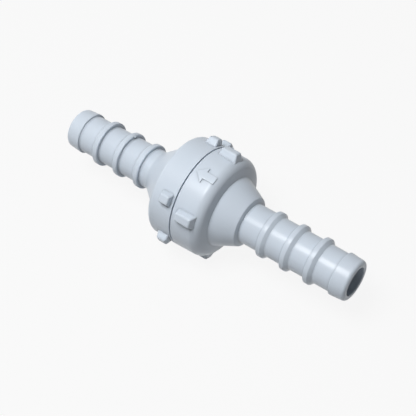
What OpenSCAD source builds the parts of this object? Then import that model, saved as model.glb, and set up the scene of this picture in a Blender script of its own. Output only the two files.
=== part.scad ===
// Inline non-return valve for soft hose, with a ringed hose tail at each end.
// Two hollow halves screw together at a drum. Inside the drum a coil spring holds a
// poppet and its rubber washer on a seat, so water passes only from the inlet half to
// the outlet half, the way the raised arrow points.
// The flow axis is X, the inlet tail points to +X, and the valve lies on its drum.
// Every size is in millimetres and every turn in degrees.

/* [Drum] */
// Diameter of the drum at the parting plane
drum_d = 32.2; // [31:0.1:40]
// Draft of the drum towards its shoulders
drum_draft = 1.5; // [0:0.1:2]
// Width of the inlet half's drum, from the parting plane to the root of its cone
inlet_drum_w = 9.6; // [9:0.1:12]
// Width of the outlet half's drum, from the parting plane to the root of its cone
outlet_drum_w = 9.8; // [9:0.1:12]
// Radius of the rounding at each end of the drum
shoulder_r = 1.6; // [0.6:0.1:2.4]
// Lean of the drum's end faces towards the tails
face_lean = 20; // [8:1:26]
// Width of the dark groove between the two halves
groove_w = 0.3; // [0.1:0.05:0.6]
// Depth of that groove
groove_depth = 1.2; // [0.5:0.1:1.4]
// Rounding of the inlet half's rim at the groove
rim_r = 0.35; // [0.1:0.05:0.6]

/* [Cones] */
// Diameter of the inlet half's cone where it leaves the drum
inlet_cone_d = 22.2; // [19:0.1:24]
// Diameter of that cone at the step above the tail
inlet_cone_tip_d = 15.6; // [14.5:0.1:17]
// Place of that step, from the parting plane
inlet_cone_end = 16.8; // [14:0.1:20]
// Length of that step
inlet_step_l = 0.4; // [0.2:0.1:1]
// Diameter of the outlet half's cone where it leaves the drum
outlet_cone_d = 24.2; // [21:0.1:26]
// Place where the outlet half's cone runs out in the tail, from the parting plane
outlet_cone_end = 17.0; // [14:0.1:18.2]
// Radius of the hollow between that cone and the tail
outlet_cone_fillet = 2.5; // [0.5:0.1:4]

/* [Hose tails] */
// Diameter of the tail between its rings, at the first ring
tail_d = 12.5; // [11.5:0.1:13.2]
// Draft of the tail towards its nose
tail_draft = 0.5; // [0:0.1:1]
// Diameter of the way through each tail
bore_d = 8.8; // [6:0.1:9.4]
// Place of the first ring on the inlet half, from the parting plane
inlet_first_ring = 23.8; // [20:0.1:30]
// Place of the first ring on the outlet half, from the parting plane
outlet_first_ring = 19.8; // [18.6:0.1:26]
// Number of rings on each tail
ring_count = 3; // [1:1:5]
// Distance from one ring to the next
ring_pitch = 8; // [5:0.1:12]
// Diameter over the rings
ring_d = 14.5; // [13.8:0.1:16]
// Width of a ring's flat crest
ring_land = 1.5; // [0.8:0.1:2.2]
// Length of the slope on the nose side of a ring
ring_ramp = 1.0; // [0.4:0.1:2]
// Diameter of the nose collar at its back edge
collar_d = 13.3; // [12.9:0.1:14]
// Diameter of the nose collar near the mouth
collar_front_d = 12.5; // [11.8:0.1:13.2]
// Length of the nose collar
nose_l = 5; // [3:0.1:8]
// Rounding of the nose
nose_r = 1.0; // [0.3:0.1:1.2]
// Rounding of the edge of the mouth
mouth_r = 0.35; // [0.1:0.05:0.4]
// Rounding of the rings' edges
ring_edge_r = 0.3; // [0.1:0.05:0.35]

/* [Lugs] */
// Number of equally spaced lugs on the inlet half
inlet_lug_count = 4; // [3:1:5]
// Height of a lug above the drum
lug_h = 1.9; // [1:0.1:3]
// Width of a lug at the drum
lug_w = 4.0; // [3.4:0.1:6]
// Width of a lug at its crest
lug_crest_w = 2.6; // [2:0.1:3.2]
// Rounding of a lug's edges
lug_edge_r = 0.5; // [0.1:0.1:0.8]
// Slope of the lug's end at the parting plane
lug_near_slope = 0.3; // [0.1:0.1:0.8]
// Slope of its other end
lug_far_slope = 0.5; // [0.1:0.1:1]
// Length of the inlet half's lugs
inlet_lug_l = 5.9; // [4:0.1:6.4]
// Distance from the parting plane to the inlet half's lugs
inlet_lug_gap = 1.85; // [0.5:0.05:2]
// Turn of the inlet half's first lug from the top
inlet_lug_turn = 58.3; // [56:0.1:61]
// Length of the outlet half's lugs
outlet_lug_l = 3.8; // [3:0.1:6]
// Distance from the parting plane to the outlet half's lugs
outlet_lug_gap = 1.0; // [0.4:0.05:2]
// Turn of the outlet half's first lug from the top
outlet_lug_turn = 48.8; // [46:0.1:52]

/* [Flow arrow] */
// Length of the arrow
arrow_l = 6.2; // [4:0.1:7]
// Length of the arrow's head
arrow_head_l = 2.8; // [1.5:0.1:3.5]
// Width of the arrow's head
arrow_head_w = 5.1; // [3.5:0.1:7]
// Width of the arrow's shaft
arrow_shaft_w = 2.3; // [1:0.1:3]
// Height of the arrow above the drum
arrow_h = 0.35; // [0.2:0.05:0.6]
// Distance from the parting plane to the arrow's tip
arrow_gap = 1.3; // [0.6:0.1:1.5]
// Turn of the arrow from the top
arrow_turn = 8.8; // [0:0.1:20]

/* [Screwed joint] */
// Diameter of the outlet half's spigot
spigot_d = 26.6; // [25.8:0.1:27.4]
// Wall of the spigot
spigot_wall = 1.6; // [1:0.1:2]
// Reach of the spigot into the inlet half
spigot_l = 3.6; // [2.6:0.1:4]
// Clearance between the spigot and its socket, on the radius
thread_clearance = 0.1; // [0.05:0.01:0.15]
// Section diameter of the body seal
seal_section = 1.6; // [1.2:0.1:1.7]
// Squeeze of the body seal between the halves
seal_squeeze = 0.3; // [0.1:0.05:0.4]

/* [Seat and poppet] */
// Diameter of the port that the poppet closes
port_d = 11.2; // [10.4:0.1:12]
// Length of the port behind the seat
port_l = 5.4; // [4.9:0.1:6.5]
// Distance from the parting plane to the seat's crown
seat_depth = 6.6; // [6.4:0.1:6.9]
// Height of the seat above the chamber's floor
seat_h = 0.6; // [0.3:0.1:0.8]
// Width of the seat's flat crown
seat_w = 0.6; // [0.3:0.1:1]
// Diameter of the poppet's disc
disc_d = 16.8; // [15.8:0.1:18]
// Thickness of the disc
disc_t = 1.6; // [1.2:0.1:2]
// Diameter of the rubber washer
washer_d = 16; // [14.8:0.1:16.6]
// Thickness of the rubber washer
washer_t = 1.2; // [0.8:0.1:1.4]
// Diameter of the neck that the washer is stretched over
neck_d = 8.4; // [7:0.1:8.8]
// Diameter of the lip that keeps the washer on
lip_d = 9.8; // [9.2:0.1:10]
// Thickness of that lip
lip_t = 0.8; // [0.5:0.1:1.2]
// Length of the vanes that guide the poppet in the port
vane_l = 4; // [3:0.1:4.2]
// Thickness of a vane
vane_t = 1.2; // [0.8:0.1:2]
// Clearance between the vanes and the port, on the radius
vane_clearance = 0.15; // [0.1:0.01:0.3]
// Diameter of the poppet's stem
stem_d = 3; // [2:0.1:3.6]
// Length of the stem behind the disc
stem_l = 11.8; // [11:0.1:13]
// Way that the poppet opens before its boss meets the guide's tube
poppet_travel = 3.6; // [2.8:0.1:3.8]

/* [Stem guide] */
// Distance from the parting plane to the ledge that carries the guide
ledge_depth = 6; // [5.6:0.1:6.5]
// Width of that ledge
ledge_w = 1.3; // [0.8:0.1:2]
// Thickness of the guide's ring and spokes
guide_t = 1.6; // [1.2:0.1:2]
// Width of the guide's outer ring
guide_ring_w = 1.4; // [1:0.1:2]
// Clearance around the guide's outer ring, on the radius
guide_clearance = 0.1; // [0.05:0.01:0.2]
// Number of spokes
spoke_count = 4; // [3:1:6]
// Thickness of a spoke
spoke_t = 1.2; // [0.8:0.1:2]
// Diameter of the hub that the spring stands on
hub_d = 10.8; // [10.2:0.1:12]
// Diameter of the tube that guides the stem
tube_d = 6.4; // [5.4:0.1:6.8]
// Clearance between the stem and its hole, on the radius
stem_clearance = 0.1; // [0.05:0.01:0.15]

/* [Spring] */
// Mean diameter of the spring's coils
spring_d = 8.8; // [8.4:0.1:9.2]
// Diameter of the spring's wire
wire_d = 0.7; // [0.5:0.05:0.8]
// Number of coils, the closed end coils included
coil_count = 5; // [4:0.5:5.5]

/* [Hidden] */
$fn = 96;

plastic_color = [0.80, 0.83, 0.88];
rubber_color = [0.13, 0.13, 0.14];
moulding_color = [0.93, 0.93, 0.90];
steel_color = [0.72, 0.73, 0.75];

// Roundings of the moulded halves
crease_r = 0.5;
cone_tip_r = 0.4;
step_foot_r = 0.25;
outlet_rim_r = 0.15;
throat_r = 0.9;
chamber_corner_r = 0.8;
seat_foot_r = 0.15;
// Roundings of the small mouldings
soft_edge_r = 0.2;
round_edge_r = 0.4;
stem_tip_r = 0.5;

drum_r = drum_d / 2;
ring_reach = ring_count * ring_pitch + nose_l;
inlet_l = inlet_first_ring + ring_reach;
outlet_l = outlet_first_ring + ring_reach;
// The origin is midway between the two noses
parting_x = (outlet_l - inlet_l) / 2;

// Depth in the drum's wall at which the lugs and the arrow start
root_depth = 0.6;
// Places of the outlet half's lugs, as turns from the first one: its mould leaves three
// of them close beside the inlet half's lugs and one across from the first
outlet_lug_places = [0, 55, 180, 240, 270];

// Chamber and screwed joint
chamber_r = spigot_d / 2 - spigot_wall;
socket_r = spigot_d / 2 + thread_clearance;
seal_h = seal_section - seal_squeeze;
socket_depth = spigot_l + seal_h;
seal_r = (chamber_r + socket_r) / 2;
chamber_depth = seat_depth + seat_h;
lead_in = 0.4;

// Way through the halves
bore_r = bore_d / 2;
port_r = port_d / 2;
port_end = seat_depth + port_l;
inlet_throat_l = 2.4;
ledge_r = chamber_r - ledge_w;
// The outlet throat narrows beside the cone around it and ends this far before it
throat_setback = 1.6;
outlet_throat_end = outlet_cone_end - throat_setback;
outlet_throat_start = outlet_throat_end - (ledge_r - bore_r) * (outlet_cone_end - outlet_drum_w)
  / (outlet_cone_d / 2 - tail_d / 2);

// Poppet, from the seat towards the outlet
disc_front = seat_depth - washer_t;
disc_back = disc_front - disc_t;
boss_t = 0.6;
boss_clearance = 0.4;
boss_r = (spring_d - wire_d) / 2 - boss_clearance;
vane_r = port_r - vane_clearance;
vane_chamfer = 1;

// Stem guide and spring
guide_front = ledge_depth - guide_t;
guide_r = chamber_r - guide_clearance;
spoke_root = 0.4;
spring_l = disc_back + guide_front;
tube_l = spring_l - boss_t - poppet_travel;

// Rounds the corner b of an outline between its neighbours a and c
function turn_of(v) = atan2(v.y, v.x);
function wrapped(angle) = angle - 360 * floor((angle + 180) / 360);
function rounded(a, b, c, r) =
  let (
    u = (a - b) / norm(a - b),
    v = (c - b) / norm(c - b),
    half = acos(u * v) / 2,
    centre = b + (u + v) / norm(u + v) * r / sin(half),
    start = b + u * r / tan(half) - centre,
    end = b + v * r / tan(half) - centre,
    sweep = wrapped(turn_of(end) - turn_of(start)),
    steps = max(3, ceil(abs(sweep) / 15))
  )
  [for (i = [0:steps]) centre + r * [cos(turn_of(start) + sweep * i / steps),
                                     sin(turn_of(start) + sweep * i / steps)]];

// Outline through corners of the form [x, y, rounding radius]
function outline(corners) =
  let (n = len(corners))
  [for (i = [0:n - 1])
    let (
      p = corners[i],
      before = corners[(i + n - 1) % n],
      after = corners[(i + 1) % n]
    )
    each p[2] > 0
      ? rounded([before.x, before.y], [p.x, p.y], [after.x, after.y], p[2])
      : [[p.x, p.y]]];

// Radius of the drum at a distance from the parting plane
function drum_r_at(distance) = drum_r - tan(drum_draft) * distance;

// Distance at which the leaning end face of a drum meets its side
function shoulder_at(drum_w, cone_d) = drum_w - (drum_r_at(drum_w) - cone_d / 2) * tan(face_lean);

// Radius of the tail between its rings, at a distance past its first ring
function tail_r(past) = tail_d / 2 - tan(tail_draft) * past;

// Outside of a hose tail from its first ring to its mouth, as [radius, distance] corners
function tail_corners(first) = [
  for (i = [0:ring_count - 1])
    let (past = i * ring_pitch, z = first + past, slope_end = ring_land + ring_ramp)
    each [
      [tail_r(past), z, ring_edge_r / 2],
      [ring_d / 2, z, ring_edge_r],
      [ring_d / 2, z + ring_land, ring_edge_r],
      [tail_r(past + slope_end), z + slope_end, ring_edge_r]
    ],
  [tail_r(ring_count * ring_pitch), first + ring_count * ring_pitch, ring_edge_r / 2],
  [collar_d / 2, first + ring_count * ring_pitch, ring_edge_r],
  [collar_front_d / 2, first + ring_reach, nose_r],
  [bore_r, first + ring_reach, mouth_r]
];

// Revolves an outline of [radius, distance along X] about the flow axis
module revolve(points) rotate([0, 90, 0]) rotate_extrude() polygon(points);

// Half of the valve that points from the parting plane to +X, or to -X
module inlet_side() translate([parting_x, 0, 0]) children();
module outlet_side() translate([parting_x, 0, 0]) mirror([1, 0, 0]) children();

// One drafted lug that stands on top of the drum and runs along it from the distance start
module lug(start, length) {
  foot = drum_r - root_depth;
  crest = drum_r + lug_h;
  foot_w = lug_w + root_depth * (lug_w - lug_crest_w) / lug_h;
  end = start + length;
  section = outline([
    [-foot_w / 2, foot, 0],
    [-lug_crest_w / 2, crest, lug_edge_r],
    [lug_crest_w / 2, crest, lug_edge_r],
    [foot_w / 2, foot, 0]
  ]);
  side = outline([
    [start, foot, 0],
    [start, drum_r, 0],
    [start + lug_near_slope, crest, lug_edge_r],
    [end - lug_far_slope, crest, lug_edge_r],
    [end, drum_r, 0],
    [end, foot, 0]
  ]);
  intersection() {
    rotate([90, 0, 90]) linear_extrude(end) polygon(section);
    rotate([90, 0, 0]) linear_extrude(foot_w, center = true) polygon(side);
  }
}

// Raised flow arrow that points to the parting plane
module flow_arrow() {
  tip = arrow_gap;
  head = arrow_gap + arrow_head_l;
  tail = arrow_gap + arrow_l;
  rotate([arrow_turn, 0, 0]) intersection() {
    rotate([0, 90, 0]) cylinder(r1 = drum_r + arrow_h, r2 = drum_r_at(tail) + arrow_h, h = tail);
    translate([0, 0, drum_r - root_depth]) linear_extrude(root_depth + arrow_h) polygon([
      [tip, 0],
      [head, arrow_head_w / 2],
      [head, arrow_shaft_w / 2],
      [tail, arrow_shaft_w / 2],
      [tail, -arrow_shaft_w / 2],
      [head, -arrow_shaft_w / 2],
      [head, -arrow_head_w / 2]
    ]);
  }
}

// Inlet half: ringed tail, stepped cone, drum with its socket, chamber, seat and port
module inlet_body() color(plastic_color) inlet_side() {
  shoulder = shoulder_at(inlet_drum_w, inlet_cone_d);
  revolve(outline(concat(
    [
      [socket_r + lead_in, 0, 0],
      [drum_r, 0, rim_r],
      [drum_r_at(shoulder), shoulder, shoulder_r],
      [inlet_cone_d / 2, inlet_drum_w, crease_r],
      [inlet_cone_tip_d / 2, inlet_cone_end, cone_tip_r],
      [tail_d / 2, inlet_cone_end + inlet_step_l, step_foot_r]
    ],
    tail_corners(inlet_first_ring),
    [
      [bore_r, port_end + inlet_throat_l, throat_r],
      [port_r, port_end, throat_r],
      [port_r, seat_depth, 0],
      [port_r + seat_w, seat_depth, 0],
      [port_r + seat_w + seat_h / 2, chamber_depth, seat_foot_r],
      [chamber_r, chamber_depth, chamber_corner_r],
      [chamber_r, socket_depth, 0],
      [socket_r, socket_depth, 0],
      [socket_r, lead_in, 0]
    ]
  )));
  for (i = [0:inlet_lug_count - 1])
    rotate([inlet_lug_turn + i * 360 / inlet_lug_count, 0, 0]) lug(inlet_lug_gap, inlet_lug_l);
  flow_arrow();
}

// Outlet half: ringed tail, hollow-sided cone, drum and the spigot that enters the inlet half
module outlet_body() color(plastic_color) outlet_side() {
  shoulder = shoulder_at(outlet_drum_w, outlet_cone_d);
  revolve(outline(concat(
    [
      [spigot_d / 2 - lead_in, -spigot_l, 0],
      [spigot_d / 2, -spigot_l + lead_in, 0],
      [spigot_d / 2, 0, 0],
      [drum_r - groove_depth, 0, 0],
      [drum_r - groove_depth, groove_w, 0],
      [drum_r_at(groove_w), groove_w, outlet_rim_r],
      [drum_r_at(shoulder), shoulder, shoulder_r],
      [outlet_cone_d / 2, outlet_drum_w, crease_r],
      [tail_d / 2, outlet_cone_end, outlet_cone_fillet]
    ],
    tail_corners(outlet_first_ring),
    [
      [bore_r, outlet_throat_end, throat_r],
      [ledge_r, outlet_throat_start, throat_r],
      [ledge_r, ledge_depth, 0],
      [chamber_r, ledge_depth, 0],
      [chamber_r, -spigot_l, 0]
    ]
  )));
  for (place = outlet_lug_places)
    rotate([outlet_lug_turn + place, 0, 0]) lug(outlet_lug_gap, outlet_lug_l);
}

// Body seal: an O-ring squeezed flat between the spigot's end and the socket's floor
module body_seal() color(rubber_color) inlet_side()
  rotate([0, 90, 0]) rotate_extrude() intersection() {
    translate([seal_r, spigot_l + seal_h / 2]) circle(d = seal_section);
    translate([0, spigot_l]) square([socket_r, seal_h]);
  }

// Poppet: disc, neck and lip for the washer, crossed vanes in the port, spring boss and stem
module poppet() color(moulding_color) inlet_side() {
  neck_end = seat_depth;
  lip_end = neck_end + lip_t;
  revolve(outline([
    [0, disc_back - stem_l, 0],
    [stem_d / 2, disc_back - stem_l, stem_tip_r],
    [stem_d / 2, disc_back - boss_t, soft_edge_r],
    [boss_r, disc_back - boss_t, soft_edge_r],
    [boss_r, disc_back, 0],
    [disc_d / 2, disc_back, round_edge_r],
    [disc_d / 2, disc_front, soft_edge_r],
    [neck_d / 2, disc_front, 0],
    [neck_d / 2, neck_end, 0],
    [lip_d / 2, neck_end, 0],
    [neck_d / 2, lip_end, 0],
    [0, lip_end, 0]
  ]));
  for (turn = [0, 90])
    rotate([turn, 0, 0]) translate([neck_end, 0, 0]) rotate([90, 0, 0])
      linear_extrude(vane_t, center = true) polygon([
        [0, -lip_d / 2],
        [lip_t, -vane_r],
        [vane_l - vane_chamfer, -vane_r],
        [vane_l, vane_chamfer - vane_r],
        [vane_l, vane_r - vane_chamfer],
        [vane_l - vane_chamfer, vane_r],
        [lip_t, vane_r],
        [0, lip_d / 2]
      ]);
}

// Poppet seal: the flat rubber washer that meets the seat
module poppet_seal() color(rubber_color) inlet_side() revolve(outline([
  [neck_d / 2, disc_front, 0],
  [washer_d / 2, disc_front, soft_edge_r],
  [washer_d / 2, seat_depth, soft_edge_r],
  [neck_d / 2, seat_depth, 0]
]));

// Stem guide: outer ring on the ledge, spokes, and a hub with the tube that the stem runs in
module stem_guide() color(moulding_color) outlet_side() {
  hole_r = stem_d / 2 + stem_clearance;
  ring_inner_r = guide_r - guide_ring_w;
  spoke_foot = hub_d / 2 - spoke_root;
  revolve(outline([
    [ring_inner_r, guide_front, soft_edge_r],
    [guide_r, guide_front, soft_edge_r],
    [guide_r, ledge_depth, 0],
    [ring_inner_r, ledge_depth, 0]
  ]));
  revolve(outline([
    [hole_r, guide_front - tube_l, 0],
    [tube_d / 2, guide_front - tube_l, soft_edge_r],
    [tube_d / 2, guide_front, 0],
    [hub_d / 2, guide_front, soft_edge_r],
    [hub_d / 2, ledge_depth, soft_edge_r],
    [hole_r, ledge_depth, 0]
  ]));
  for (i = [0:spoke_count - 1])
    rotate([i * 360 / spoke_count, 0, 0])
      translate([guide_front, -spoke_t / 2, spoke_foot])
        cube([guide_t, spoke_t, ring_inner_r + spoke_root - spoke_foot]);
}

// Return spring: a compression coil with closed, flat-ground ends
module return_spring() color(steel_color) outlet_side() {
  sides = 10;
  per_turn = 32;
  rings = floor(coil_count * per_turn);
  wire_r = wire_d / 2;
  // The wire's first and last rings sink this far into the ground end faces
  sunk = wire_r * 0.6;
  open_coils = coil_count - 2;
  open_rise = spring_l + 2 * sunk - 3 * wire_d;
  // Rise of the wire's centre after so many turns: closed end coils, open coils between
  rise = function (turns)
    wire_d * (min(turns, 1) + max(turns - 1 - open_coils, 0))
      + open_rise * min(max(turns - 1, 0), open_coils) / open_coils;
  points = [
    for (i = [0:rings])
      let (turns = i / per_turn, z = guide_front - spring_l + wire_r - sunk + rise(turns))
      for (k = [0:sides - 1])
        let (r = spring_d / 2 + wire_r * cos(k * 360 / sides), a = turns * 360)
        [z + wire_r * sin(k * 360 / sides), r * cos(a), r * sin(a)]
  ];
  faces = concat(
    [[for (k = [0:sides - 1]) k]],
    [for (i = [0:rings - 1]) for (k = [0:sides - 1])
      let (a = i * sides + k, b = i * sides + (k + 1) % sides)
      each [[a, a + sides, b + sides], [a, b + sides, b]]],
    [[for (k = [sides - 1:-1:0]) rings * sides + k]]
  );
  intersection() {
    polyhedron(points, faces);
    translate([guide_front - spring_l, 0, 0]) rotate([0, 90, 0]) cylinder(r = spring_d, h = spring_l);
  }
}

inlet_body();
outlet_body();
body_seal();
poppet();
poppet_seal();
stem_guide();
return_spring();
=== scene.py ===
"""Looks of an inline non-return valve for soft hose.

The moulded halves, the seals, the poppet, its guide and its spring are modelled where the
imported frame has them, dressed in their finishes, and shown on a pale floor in soft light.
Sizes are in millimetres and turns in degrees until they reach Blender, which takes metres.
"""

import logging
import math
from collections.abc import Callable, Iterator
from contextlib import contextmanager
from dataclasses import dataclass
from enum import Enum
from typing import Any

import bmesh
import bpy
from mathutils import Matrix, Vector

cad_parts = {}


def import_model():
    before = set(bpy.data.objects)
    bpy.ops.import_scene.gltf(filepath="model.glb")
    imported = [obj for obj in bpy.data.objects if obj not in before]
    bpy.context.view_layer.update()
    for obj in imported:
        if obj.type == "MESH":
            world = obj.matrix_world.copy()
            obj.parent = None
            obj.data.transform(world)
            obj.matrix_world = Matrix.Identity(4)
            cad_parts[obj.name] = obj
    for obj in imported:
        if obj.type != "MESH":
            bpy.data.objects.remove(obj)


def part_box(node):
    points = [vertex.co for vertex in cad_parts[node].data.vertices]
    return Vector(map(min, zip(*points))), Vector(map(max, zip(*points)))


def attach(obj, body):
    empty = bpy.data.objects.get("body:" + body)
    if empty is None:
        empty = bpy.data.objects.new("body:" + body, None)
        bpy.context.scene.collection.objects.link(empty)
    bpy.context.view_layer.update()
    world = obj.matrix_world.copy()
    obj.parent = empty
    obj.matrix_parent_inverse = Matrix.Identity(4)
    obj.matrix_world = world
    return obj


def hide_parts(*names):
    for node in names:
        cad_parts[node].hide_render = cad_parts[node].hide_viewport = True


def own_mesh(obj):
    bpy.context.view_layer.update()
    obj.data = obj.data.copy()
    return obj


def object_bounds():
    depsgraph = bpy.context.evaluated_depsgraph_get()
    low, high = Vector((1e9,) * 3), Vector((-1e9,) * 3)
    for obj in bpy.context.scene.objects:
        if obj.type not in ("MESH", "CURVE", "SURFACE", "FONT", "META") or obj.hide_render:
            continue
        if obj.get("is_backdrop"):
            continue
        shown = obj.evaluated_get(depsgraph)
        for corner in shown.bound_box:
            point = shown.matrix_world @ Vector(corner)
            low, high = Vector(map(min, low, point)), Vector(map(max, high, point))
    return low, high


log = logging.getLogger("valve")

MM = 0.001
FULL_TURN = 2 * math.pi
SPIN_STEPS = 192
ARC_STEP = math.radians(12)
LEAST_ARC_STEPS = 2
EDGE_STEPS = 3
SMOOTH_ANGLE = math.radians(32)
NOISE_MIDDLE = 0.5
# Samples of the test of how closed in a point is, which paints shade into the plastics' creases.
CREASE_SHADE_SAMPLES = 8

# Metres: points nearer than the first are welded, and those nearer than the second are picked.
WELD = 1e-7
NEAR = 2e-6

# The places of the Mix node's colour sockets, as its sockets for numbers have the same names.
MIX_SHARE, MIX_FIRST, MIX_SECOND, MIX_RESULT = 0, 6, 7, 2

Colour = tuple[float, float, float]


class Pick(Enum):
    """What a selection in edit mode is made of."""

    VERTS = "VERT"
    EDGES = "EDGE"
    FACES = "FACE"


class Slot(Enum):
    """The material slots of the valve's record."""

    GREY = "grey_plastic"
    WHITE = "white_plastic"
    RUBBER = "seal_rubber"
    STEEL = "spring_steel"


class Wire:
    """A shader socket on which Python arithmetic adds Math nodes."""

    def __init__(self, graph: "Graph", socket: bpy.types.NodeSocket) -> None:
        """Keeps the socket and the graph that it belongs to."""
        self.graph = graph
        self.socket = socket

    def _math(self, operation: str, first: "Wire | float", second: "Wire | float") -> "Wire":
        """Adds a Math node.

        Args:
            operation: The node's operation.
            first: Its first value.
            second: Its second value.

        Returns:
            The node's result.
        """
        return self.graph.node("ShaderNodeMath", {"operation": operation}, {0: first, 1: second})

    def __add__(self, other: "Wire | float") -> "Wire":
        """Adds a value."""
        return self._math("ADD", self, other)

    def __radd__(self, other: float) -> "Wire":
        """Is added to a number."""
        return self._math("ADD", other, self)

    def __sub__(self, other: "Wire | float") -> "Wire":
        """Takes a value away."""
        return self._math("SUBTRACT", self, other)

    def __rsub__(self, other: float) -> "Wire":
        """Is taken away from a number."""
        return self._math("SUBTRACT", other, self)

    def __mul__(self, other: "Wire | float") -> "Wire":
        """Multiplies by a value."""
        return self._math("MULTIPLY", self, other)

    def __rmul__(self, other: float) -> "Wire":
        """Multiplies a number."""
        return self._math("MULTIPLY", other, self)


class Graph:
    """The node tree of one material or of the world."""

    def __init__(self, owner: bpy.types.Material | bpy.types.World) -> None:
        """Empties a node tree and keeps it.

        Args:
            owner: The material or world that the tree belongs to.
        """
        owner.use_nodes = True
        self.tree = owner.node_tree
        self.tree.nodes.clear()

    def node(
        self,
        kind: str,
        settings: dict[str, Any] | None = None,
        inputs: dict[str | int, Any] | None = None,
        output: str | int = 0,
    ) -> Wire:
        """Adds a node, sets it up and fills its sockets.

        Args:
            kind: The node's type.
            settings: Its properties, which are set before its sockets.
            inputs: Its sockets' values or links, by name or place.
            output: The socket that is handed back.

        Returns:
            The chosen output, or the node's last input where it has no output.
        """
        made = self.tree.nodes.new(kind)
        for name, value in (settings or {}).items():
            setattr(made, name, value)
        for name, value in (inputs or {}).items():
            if isinstance(value, Wire):
                self.tree.links.new(value.socket, made.inputs[name])
            else:
                made.inputs[name].default_value = value
        return Wire(self, made.outputs[output] if made.outputs else made.inputs[-1])

    def place(self) -> Wire:
        """The point on the surface in the object's own metres."""
        return self.node("ShaderNodeTexCoord", output="Object")

    def noise(self, place: Wire, size: float, detail: float = 2.0) -> Wire:
        """Adds a smooth random pattern.

        Args:
            place: The point that is shaded.
            size: The pattern's feature size in millimetres.
            detail: How many finer layers it has.

        Returns:
            A value that runs around one half.
        """
        values = {"Vector": place, "Scale": 1 / (size * MM), "Detail": detail}
        return self.node("ShaderNodeTexNoise", {}, values)

    def blend(self, share: Wire, first: Colour, second: Colour | Wire) -> Wire:
        """Mixes two colours.

        Args:
            share: How much of the second is taken, from 0 to 1.
            first: The first colour.
            second: The second colour, plain or from another node.

        Returns:
            The mixed colour.
        """
        values = {MIX_SHARE: share, MIX_FIRST: (*first, 1)}
        values[MIX_SECOND] = second if isinstance(second, Wire) else (*second, 1)
        return self.node("ShaderNodeMix", {"data_type": "RGBA"}, values, MIX_RESULT)

    def crease_shade_mask(self, reach: float) -> Wire:
        """Finds how open the piece is round the point, as the mask that paints shade into creases.

        Args:
            reach: How far off a wall still counts, in millimetres.

        Returns:
            A value that is 1 on open faces and falls towards 0 in creases, where it paints shade.
        """
        settings = {"samples": CREASE_SHADE_SAMPLES, "only_local": True}
        values = {"Distance": reach * MM}
        return self.node("ShaderNodeAmbientOcclusion", settings, values, "AO")

    def bump(self, height: Wire, depth: float) -> Wire:
        """Turns a height pattern into a normal, with its depth in millimetres."""
        return self.node("ShaderNodeBump", {}, {"Height": height, "Distance": depth * MM})


@dataclass(frozen=True)
class Moulding:
    """A moulded plastic: faintly cloudy, with a fine grain, uneven gloss and shade painted into
    its creases.
    """

    colour: Colour
    cloud: Colour
    # The colour of the shade painted into creases.
    crease: Colour
    roughness: float
    # How far off a wall the painted crease shade reaches, in millimetres.
    crease_shade_reach: float = 0.9
    cloud_size: float = 9.0
    gloss_size: float = 2.6
    gloss_change: float = 0.10
    detail: float = 3.0
    grain_size: float = 0.35
    grain_depth: float = 0.004
    ior: float = 1.48
    specular: float = 0.35

    def surface(self, graph: Graph) -> Wire:
        """Builds the plastic's shader.

        Args:
            graph: The material's nodes.

        Returns:
            The shader.
        """
        place = graph.place()
        clouds = graph.noise(place, self.cloud_size, self.detail)
        gloss = graph.noise(place, self.gloss_size, self.detail)
        grain = graph.noise(place, self.grain_size)
        plain = graph.blend(clouds, self.colour, self.cloud)
        values = {
            # Painted shade: the colour darkens towards the crease colour where the piece closes
            # in.
            "Base Color": graph.blend(graph.crease_shade_mask(self.crease_shade_reach), self.crease, plain),
            "Roughness": self.roughness + self.gloss_change * (gloss - NOISE_MIDDLE),
            "Normal": graph.bump(grain, self.grain_depth),
            "IOR": self.ior,
            "Specular IOR Level": self.specular,
        }
        return graph.node("ShaderNodeBsdfPrincipled", {}, values)


@dataclass(frozen=True)
class Rubber:
    """Black moulded rubber with a dull bloom."""

    colour: Colour = (0.018, 0.018, 0.020)
    bloom: Colour = (0.045, 0.045, 0.047)
    roughness: float = 0.55
    bloom_size: float = 1.8
    bloom_detail: float = 4.0
    bloom_change: float = 0.2
    grain_size: float = 0.15
    grain_depth: float = 0.006
    ior: float = 1.52

    def surface(self, graph: Graph) -> Wire:
        """Builds the rubber's shader.

        Args:
            graph: The material's nodes.

        Returns:
            The shader.
        """
        place = graph.place()
        bloom = graph.noise(place, self.bloom_size, self.bloom_detail)
        grain = graph.noise(place, self.grain_size)
        values = {
            "Base Color": graph.blend(bloom, self.colour, self.bloom),
            "Roughness": self.roughness + self.bloom_change * (bloom - NOISE_MIDDLE),
            "Normal": graph.bump(grain, self.grain_depth),
            "IOR": self.ior,
        }
        return graph.node("ShaderNodeBsdfPrincipled", {}, values)


@dataclass(frozen=True)
class DrawnWire:
    """Drawn stainless wire with a faint drawing haze."""

    colour: Colour = (0.60, 0.60, 0.61)
    haze: Colour = (0.48, 0.48, 0.49)
    roughness: float = 0.26
    haze_size: float = 0.5
    haze_detail: float = 5.0
    scratch_size: float = 0.08
    scratch_change: float = 0.16
    scratch_depth: float = 0.002

    def surface(self, graph: Graph) -> Wire:
        """Builds the wire's shader.

        Args:
            graph: The material's nodes.

        Returns:
            The shader.
        """
        place = graph.place()
        haze = graph.noise(place, self.haze_size, self.haze_detail)
        scratch = graph.noise(place, self.scratch_size)
        values = {
            "Base Color": graph.blend(haze, self.colour, self.haze),
            "Metallic": 1.0,
            "Roughness": self.roughness + self.scratch_change * (scratch - NOISE_MIDDLE),
            "Normal": graph.bump(scratch, self.scratch_depth),
        }
        return graph.node("ShaderNodeBsdfPrincipled", {}, values)


Finish = Moulding | Rubber | DrawnWire

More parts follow.
